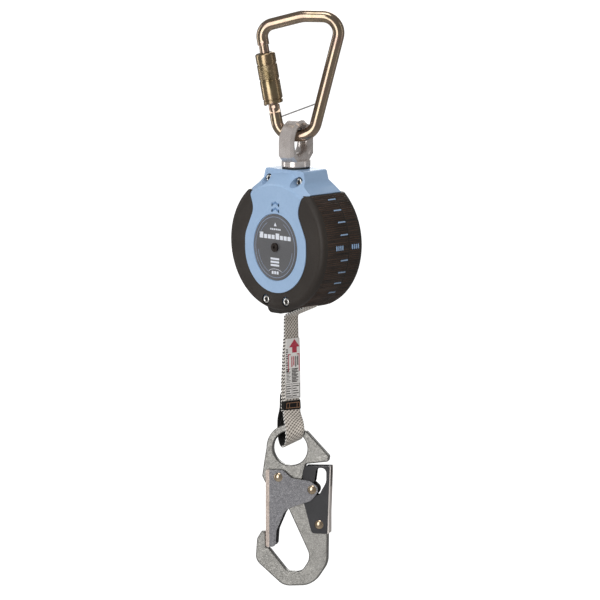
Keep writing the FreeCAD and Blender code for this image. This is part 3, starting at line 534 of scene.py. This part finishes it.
def oval_plate(name, wide, tall, y, depth, middle):
    """A thin domed oval with a rolled edge."""
    rings = []
    for share, back in ((1.0, depth), (1.0, 0.35), (0.992, 0.12), (0.975, 0.02), (0.94, 0.0), (0.8, 0.03),
                        (0.6, 0.05), (0.4, 0.06), (0.2, 0.06), (0.08, 0.06)):
        rings.append([(share * wide * math.cos(a), y + back, middle + share * tall * math.sin(a))
                      for a in (2 * math.pi * k / 120 for k in range(120))])
    return joined(name, [loft(rings)])


plate = piece("label_plate", oval_plate("label_plate", 26.2, 28.9, FRONT_Y - 0.12, 0.8, LABEL_Z), "housing",
              looks["label_dark"])
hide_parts("front_label")


def face_print(name, outlines, y, material, lift=0.12):
    """Thin raised prints on a face across Y, from outlines in X and Z."""
    made = slabs(outlines, lambda x, z: (x, y - lift, z), lambda x, z: (x, y + 0.1, z))
    return piece(name, joined(name, made), "housing", material, smooth=False)


def bar(x0, x1, z0, z1):
    """A bar's four corners."""
    return [(x0, z0), (x1, z0), (x1, z1), (x0, z1)]


def band(wide, tall, thick, start, end, middle=LABEL_Z, steps=60):
    """Pieces of an oval ring, from start to end in degrees."""
    out = []
    for k in range(steps):
        a, b = (math.radians(start + (end - start) * (k + i) / steps) for i in (0, 1))
        out.append([(wide * math.cos(a), middle + tall * math.sin(a)),
                    ((wide + thick) * math.cos(a), middle + (tall + thick) * math.sin(a)),
                    ((wide + thick) * math.cos(b), middle + (tall + thick) * math.sin(b)),
                    (wide * math.cos(b), middle + tall * math.sin(b))])
    return out


# The front label: an oval with broken inner arcs, letter-sized blocks over three short lines, small marks
PRINT_Y = FRONT_Y - 0.06
ovals = band(23.6, 26.2, 0.45, 0, 360, steps=120)
for start, end, steps in ((22, 62, 30), (118, 158, 30), (-68, -8, 40), (188, 248, 40)):
    ovals += band(20.6, 23.2, 0.35, start, end, steps=steps)
face_print("label_rings", ovals, PRINT_Y, ink_blue)
words = [bar(x0, x1, LABEL_Z + 7.0, LABEL_Z + top)
         for x0, x1, top in ((-19.0, -14.6, 12.2), (-13.6, -10.0, 10.6), (-9.0, -5.4, 10.6),
                             (-4.4, -0.8, 10.6), (0.6, 4.8, 12.2), (5.8, 9.4, 10.6), (10.4, 14.0, 10.6),
                             (15.0, 18.8, 10.6))]
words += [bar(-5.6, 4.8, LABEL_Z - z - 1.7, LABEL_Z - z) for z in (9.2, 12.0, 14.8)]
face_print("label_words", words, PRINT_Y, ink_pale)
small = [bar(x, x + 1.5, LABEL_Z + 15.0, LABEL_Z + 16.4) for x in (-6.0, -3.8, -1.6, 0.6, 2.8, 5.0)]
small += [[(-1.6, LABEL_Z + 18.4), (1.6, LABEL_Z + 18.4), (0.0, LABEL_Z + 21.6)]]
small += [bar(x, x + 2.2, LABEL_Z - 23.4, LABEL_Z - 20.8) for x in (-4.2, -1.2, 1.8)]
small += band(8.2, 3.4, 0.35, 25, 155, LABEL_Z - 22.4, 30)
face_print("label_small", small, PRINT_Y, ink_pale)

chevrons = []
for z in (30.2, 35.4):
    for side in (-1, 1):
        base = AXIS_Z + z
        chevrons.append([(0, base), (0, base + 2.0), (side * 4.6, base - 0.6), (side * 4.6, base - 2.6)])
        chevrons.append([(side * 4.6, base - 2.6), (side * 4.6, base + 0.6), (side * 3.3, base + 0.6),
                         (side * 3.3, base - 2.6)])
face_print("panel_motif", chevrons, FRONT_Y + 0.02, motif_blue, 0.14)


# A cap screw's head and short shank, its socket's mouth eased, along the screw from its seat. Then its
# painted
# shade: black pieces at the foot of the socket and in a ring round the head, where the counterbore lies in
# shadow.
SCREW = [(2.0, 0.01), (2.0, 1.75), (3.4, 1.75), (3.62, 2.0), (3.62, 2.6), (3.45, 3.05), (3.05, 3.3),
         (0.5, 3.3), (0.0, 3.2), (0.0, 2.0), (-5.0, 2.0), (-5.0, 0.01)]
SOCKET_SHADE = [(2.05, 0.01), (2.05, 1.7), (2.5, 1.72), (2.5, 1.2), (2.3, 0.01)]
RING_SHADE = [(0.02, 3.35), (0.02, 4.42), (0.5, 4.42), (0.35, 3.35)]
SCREW_WAY = (0, -1, 0)

seats = [(side * x, seat, AXIS_Z + z) for x, z, seat in ((18.2, 54.6, -11.4), (12.1, -49.1, -20.8))
         for side in (-1, 1)]
screws = piece("cap_screws", joined("cap_screws", [turned(SCREW, seat, SCREW_WAY, 48) for seat in seats]),
               "housing", looks["screw_steel"])
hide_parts("housing_screws")
# Painted shade: black pieces at the foot of each socket and round each head, in the black rubber finish
shades = [turned(corners, seat, SCREW_WAY, steps) for seat in seats
          for corners, steps in ((SOCKET_SHADE, 6), (RING_SHADE, 48))]
piece("screw_shades", joined("screw_shades", shades), "housing", looks["seal_rubber"])

# The lock sleeve's knurled band, along the sleeve from its joint's place
KNURL_START, KNURL_LONG, KNURL_END = 24.4, 12.2, 36.6


def sleeve_profile():
    """The lock sleeve's wall: rolled ends, and a groove on each side of the knurled band."""
    foot = [(2.6, 5.5), (2.6, 7.7), (3.2, 8.3), (5.6, 8.4), (6.0, 8.0), (6.6, 8.0), (7.0, 8.75), (22.6, 8.75),
            (22.9, 8.3), (23.9, 8.3), (24.2, 8.55)]
    middle = [(KNURL_START + KNURL_LONG * k / 40, 8.5) for k in range(41)]
    head = [(36.9, 8.3), (37.9, 8.3), (38.2, 8.75), (45.6, 8.75), (46.4, 8.3), (47.0, 7.4), (47.0, 5.5)]
    return foot + middle + head


def knurl(along, angle):
    """Crossed ridges on the sleeve's middle band."""
    if not KNURL_START < along < KNURL_END:
        return 0.0
    return 0.34 * abs(math.sin(21 * angle + 2.4 * along)) * abs(math.sin(21 * angle - 2.4 * along))


twist = joints["lock_sleeve_twist"]
sleeve_shape = turned(sleeve_profile(), Vector(twist["pos_m"]) / MM, twist["axis"], 168, knurl)
lock = piece("knurled_sleeve", joined("knurled_sleeve", [sleeve_shape]), "twist_sleeve",
             looks["sleeve_zinc"])
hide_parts("lock_sleeve")

# The rear label: a heading and eight rows of plain lines in an oval
REAR_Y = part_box("rear_label")[1][1] / MM
notes = band(26.6, 26.6, 0.5, 0, 360, AXIS_Z, 90)
for k, half in enumerate((9, 15, 17, 14, 18, 16, 11, 17, 13)):
    tall = 0.9 if k else 2.2
    level = AXIS_Z + 16.0 - 4.0 * k
    notes.append(bar(-half, half - (k % 3) * 3.0, level - tall / 2, level + tall / 2))
face_print("rear_lines", notes, REAR_Y + 0.02, ink_grey, -0.1)


# ---------------------------------------------------------------- webbing

# Headings of the webbing's width, in degrees, at heights down the line
LINE_TURNS = ((-255.0, 90.0), (-272.0, 88.0), (-288.0, 82.0), (-330.0, 81.0), (-338.0, 75.0), (-348.0, 61.0))


def turn_at(z):
    """The heading of the webbing's width, in radians, as the line twists down to the hook."""
    if z >= LINE_TURNS[0][0]:
        return math.radians(LINE_TURNS[0][1])
    for (za, a), (zb, b) in zip(LINE_TURNS, LINE_TURNS[1:]):
        if z >= zb:
            share = (za - z) / (za - zb)
            share = share * share * (3 - 2 * share) * 0.5 + share * 0.5
            return math.radians(a + (b - a) * share)
    return math.radians(LINE_TURNS[-1][1])


def on_line(z, across=0.0, out=0.0):
    """A point of the hanging webbing: across its width, and out behind it, in millimetres."""
    turn = turn_at(z)
    return Vector((LINE_X + across * math.cos(turn) - out * math.sin(turn),
                   LINE_Y + across * math.sin(turn) + out * math.cos(turn), z))


# The slanted seat starts at this height and is full this far below it
SEAT_Z, SEAT_TALL = -338.0, 24.0


def slant(z, across):
    """How far the loop's webbing is lifted by its slanted seat in the hook's eye, in millimetres."""
    share = min(1.0, max(0.0, (SEAT_Z - z) / SEAT_TALL))
    return (0.42 * across + 1.6) * share * share * (3 - 2 * share)


def route_line(name, controls):
    """The points of the smooth line that has those control points, in metres."""
    curve = bpy.data.curves.new(name, "CURVE")
    curve.dimensions = "3D"
    curve.resolution_u = 14
    spline = curve.splines.new("NURBS")
    spline.points.add(len(controls) - 1)
    for point, spot in zip(spline.points, controls):
        point.co = (*(Vector(spot) * MM), 1.0)
    spline.order_u = 3
    spline.use_endpoint_u = True
    made = bpy.data.objects.new(name, curve)
    bpy.context.scene.collection.objects.link(made)
    bpy.context.view_layer.update()
    mesh = bpy.data.meshes.new_from_object(made)
    line = [vertex.co.copy() for vertex in mesh.vertices]
    bpy.data.objects.remove(made)
    bpy.data.meshes.remove(mesh)
    return line


def strap_section(width, thick):
    """A flat strap's outline with round edges, as (across, out) pairs."""
    half, r = width / 2, thick / 2
    flat = [half - r - (width - 2 * r) * k / 10 for k in range(11)]
    left = [(-(half - r) - r * math.sin(a), r * math.cos(a)) for a in (math.pi * k / 5 for k in range(1, 5))]
    right = [((half - r) + r * math.sin(a), -r * math.cos(a)) for a in (math.pi * k / 5 for k in range(1, 5))]
    front = [(x, r) for x in flat]
    back = [(-x, -r) for x in flat]
    return front + left + back + right


def ribbon(name, line, width, thick):
    """A strap along a line in metres, its width level and turned as the hanging line's is."""
    section = strap_section(width, thick)
    rings, lengths, total = [], [], 0.0
    count = len(line)
    for i, spot in enumerate(line):
        heading = (line[min(i + 1, count - 1)] - line[max(i - 1, 0)]).normalized()
        turn = turn_at(spot.z / MM)
        wide = Vector((math.cos(turn), math.sin(turn), 0))
        wide = (wide - heading * wide.dot(heading)).normalized()
        out = heading.cross(wide)
        if i:
            total += (spot - line[i - 1]).length
        lengths.append(total)
        ring = [spot / MM + wide * x + out * y for x, y in section]
        rings.append([at + Vector((0, 0, slant(at.z, x))) for at, (x, y) in zip(ring, section)])
    mesh = joined(name, [loft(rings)])
    flat, rest = mesh.uv_layers.new(name="UVMap"), mesh.uv_layers.new(name="Rest")
    wide = len(section)
    for loop in mesh.loops:
        ring, spot = divmod(loop.vertex_index, wide)
        flat.data[loop.index].uv = (section[spot][0] * MM, lengths[ring])
        rest.data[loop.index].uv = (mesh.vertices[loop.vertex_index].co.z, 0.0)
    return mesh


def loop_side(sign, radius, throat):
    """Control points of one side of the loop, from the throat to its lowest point."""
    spots = ((0.9, throat), (radius * 0.85, throat - 11.0), (radius, LOOP_Z - radius * 0.414),
             (radius * 0.414, LOOP_Z - radius), (0.0, LOOP_Z - radius))
    return [on_line(z, 0.0, sign * y) for y, z in spots]


# Route points of the webbing, from the roll's tangent to the fold under the guide
EXIT = [(32.921, LINE_Y, -200.317), (21.467, LINE_Y, -236.864), (19.075, LINE_Y, -244.498),
        (11.637, LINE_Y, -247.434), (-0.419, LINE_Y, -252.197), (LINE_X, LINE_Y, FOLD_Z),
        (LINE_X, LINE_Y, FOLD_Z - 6.0)]
main_route = EXIT + [on_line(-324.5, 0, -0.9)] + loop_side(-1, LOOP_R, THROAT_Z)
main_line = route_line("main_route", main_route)
strap = piece("webbing_strap", ribbon("webbing_strap", main_line, STRAP_W, STRAP_T), None,
              looks["webbing"])
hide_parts("webbing_exit", "webbing_leader", "webbing_middle", "webbing_loop")
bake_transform(strap)

cover_line = route_line("cover_route", [on_line(-323.5, -0.9, 2.9), on_line(-328.5, -0.6, 3.9),
                                        on_line(-337.0, 0.4, 5.4), on_line(-346.5, 0.6, 14.6)]
                        + loop_side(1, LOOP_R, THROAT_Z)[2:])
cover = piece("webbing_cover", ribbon("webbing_cover", cover_line, STRAP_W - 0.1, STRAP_T + 0.2), "lifeline",
              black_web)

PAD_R, PAD_TOP = LOOP_R - 1.5, -342.6
pad_controls = loop_side(-1, PAD_R, PAD_TOP) + list(reversed(loop_side(1, PAD_R, PAD_TOP)))[1:]
pad_line = route_line("pad_route", pad_controls)
pad = piece("loop_pad", ribbon("loop_pad", pad_line, STRAP_W - 1.4, 1.0), "lifeline",
            black_web)
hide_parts("wear_pad")


def main_out(z):
    """How far the main ply stands out of the line's middle at a height, in millimetres."""
    below = [spot for spot in main_line if spot.z / MM < -260]
    near = min(below, key=lambda spot: abs(spot.z / MM - z))
    turn = turn_at(z)
    return -(near.x / MM - LINE_X) * math.sin(turn) + (near.y / MM - LINE_Y) * math.cos(turn)


upper = []
for k in range(14):
    z = -275.6 - 4.8 * k
    upper.append(on_line(z, max(-1.2, 1.2 - 0.3 * k), main_out(z) + STRAP_T + 0.05) * MM)
back_ply = piece("webbing_return", ribbon("webbing_return", upper, STRAP_W - 0.1, STRAP_T), "lifeline",
                 looks["webbing"])


# The label strip on the front ply, and the keeper under it, with their heights
LABEL_W, LABEL_T = 15.9, 0.44
LABEL_TOP, LABEL_LONG = -275.2, 52.2
KEEPER_TOP, KEEPER_FOOT = -329.2, -337.2


def label_ring(z, squeeze=0.0):
    """The label strip's section at a height, set a little right of the webbing's middle."""
    return [on_line(z, 0.75 + x, main_out(z) - STRAP_T / 2 - LABEL_T / 2 + y)
            for x, y in strap_section(LABEL_W - squeeze, LABEL_T - squeeze * 0.3)]


def keeper_shape(width, thick):
    """A band round both plies, open above and below, with its own wall and a slight swell."""
    steps, swell = 8, 0.12
    levels = [KEEPER_TOP + (KEEPER_FOOT - KEEPER_TOP) * k / steps for k in range(steps + 1)]

    def ring(z, shrink):
        return [on_line(z, x, y) for x, y in strap_section(width - 2 * shrink, thick - 2 * shrink)]

    outside = []
    for k, z in enumerate(levels):
        puff = swell * math.sin(math.pi * k / steps)
        outside.append(ring(z, 0.12 - puff if k in (0, steps) else -puff))
    return loft(outside + [ring(z, 0.3) for z in reversed(levels)], closed=True)


levels = [LABEL_TOP - LABEL_LONG * k / 30 for k in range(31)]
strip = [label_ring(LABEL_TOP + 0.2, 0.6)] + [label_ring(z) for z in levels]
strip.append(label_ring(LABEL_TOP - LABEL_LONG - 0.2, 0.6))
sleeve = piece("label_strip", joined("label_strip", [loft(strip)]), "lifeline",
               looks["label_white"])
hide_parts("label_sleeve")
keeper = piece("keeper_band", joined("keeper_band", [keeper_shape(STRAP_W + 2.2, 2 * STRAP_T + 1.9)]),
               "lifeline", looks["keeper_black"])
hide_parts("web_keeper")


def strap_print(name, outlines, out, material):
    """Thin prints on the front of the strap, from outlines in its width and height."""
    made = slabs(outlines, lambda x, z: on_line(z, x, out(z)), lambda x, z: on_line(z, x, out(z) + 0.15))
    return piece(name, joined(name, made), "lifeline", material, smooth=False)


def front_out(z):
    """Just off the label's front."""
    return main_out(z) - STRAP_T / 2 - LABEL_T - 0.09


arrow = [[(0.0, -287.5), (5.0, -287.5), (5.0, -282.6), (0.0, -282.6)],
         [(-3.4, -282.6), (8.2, -282.6), (2.5, -275.8)]]
frame_bars = [bar(-4.6, -3.8, -304.0, -288.6), bar(7.2, 7.9, -304.0, -288.6), bar(-4.6, -1.6, -289.4, -288.6),
              bar(5.0, 7.9, -289.4, -288.6)]
strap_print("strap_arrow", arrow + frame_bars, front_out, ink_red)
lines = [bar(-0.9 + 2.1 * k, 0.1 + 2.1 * k, -300.0 + 1.3 * (k % 2), -290.6) for k in range(4)]
strap_print("strap_red_lines", lines[:2], front_out, ink_red)
# Plain bars for small print: marks down the left, rows in the middle, then two columns in a box
grey = lines[2:]
for k in range(11):
    z = -284.6 - 1.9 * k
    grey.append(bar(-6.6, (-4.9, -4.5, -5.3)[k % 3], z - 0.55, z + 0.55))
for k in range(10):
    z = -301.6 - 1.25 * k
    grey.append(bar(-0.6, (6.2, 5.0, 6.6, 4.2)[k % 4], z - 0.42, z + 0.42))
    grey.append(bar(-6.4, (-2.4, -3.6, -1.8)[k % 3], z - 0.3, z + 0.2))
for k in range(5):
    z = -316.6 - 2.1 * k
    grey.append(bar(-6.2, (-2.0, -1.2, -2.6)[k % 3], z - 0.4, z + 0.4))
    grey.append(bar(0.4, (6.8, 4.6, 6.0)[k % 3], z - 0.4, z + 0.4))
grey += [bar(-6.9, -6.5, -326.4, -314.6), bar(7.7, 8.1, -326.4, -314.6), bar(-6.9, 8.1, -314.9, -314.5),
         bar(-6.9, 8.1, -326.6, -326.2), bar(-0.6, -0.25, -326.4, -314.6)]
strap_print("strap_grey_lines", grey, front_out, ink_grey)


KEEPER_FRONT = -STRAP_T - 1.13
window = [bar(-6.6, 7.2, -331.3, -330.8), bar(-6.6, 7.2, -335.7, -335.2), bar(-6.6, -6.1, -335.4, -331.0),
          bar(-3.6, -3.1, -335.4, -331.0), bar(4.2, 4.7, -335.4, -331.0), bar(6.7, 7.2, -335.4, -331.0)]
strap_print("keeper_stitches", window, lambda z: KEEPER_FRONT, ink_brown)
TACK_Z = -322.8
tack = Matrix.Translation(on_line(TACK_Z, -8.9, 2.2)) @ Matrix.Rotation(turn_at(TACK_Z), 4, "Z")
piece("cover_tack", blocks("cover_tack", [((1.5, 1.6, 1.7), tack)], 0.35), "lifeline",
      looks["label_white"])


# ---------------------------------------------------------------- floor and sky

floor_finish = Finish("studio_floor")
cloud = floor_finish.noise(1.5, 2, 0.5)
floor_finish.set(Base_Color=floor_finish.blend(cloud, (0.60, 0.60, 0.60, 1), (0.64, 0.64, 0.64, 1)),
                 Roughness=0.9, Emission_Color=(1, 1, 1, 1))
seen = floor_finish.add("ShaderNodeLightPath").outputs["Is Camera Ray"]
glow = floor_finish.span(seen, 0.16, 1.0, 0.0, 1.0)
floor_finish.put(floor_finish.shader.inputs["Emission Strength"], glow)
# In millimetres, and low enough for the hook to stay above it with all the webbing paid out
FLOOR_HALF, FLOOR_Z = 60000, -2500
corners = [(x * FLOOR_HALF, y * FLOOR_HALF, FLOOR_Z) for x, y in ((-1, -1), (1, -1), (1, 1), (-1, 1))]
floor_mesh = mesh_from("floor", corners, [(0, 1, 2, 3)])
floor = bpy.data.objects.new("floor", floor_mesh)
floor_mesh.materials.append(floor_finish.material)
bpy.context.scene.collection.objects.link(floor)

world = bpy.data.worlds.new("studio")
bpy.context.scene.world = world
world.use_nodes = True
sky = world.node_tree
path = sky.nodes.new("ShaderNodeLightPath")
level = sky.nodes.new("ShaderNodeMapRange")
# Weaker as a light than as a backdrop
level.inputs["To Min"].default_value = 0.30
level.inputs["To Max"].default_value = 0.95
sky.links.new(path.outputs["Is Camera Ray"], level.inputs["Value"])
sky.links.new(level.outputs["Result"], sky.nodes["Background"].inputs[1])
sky.nodes["Background"].inputs[0].default_value = (1, 1, 1, 1)
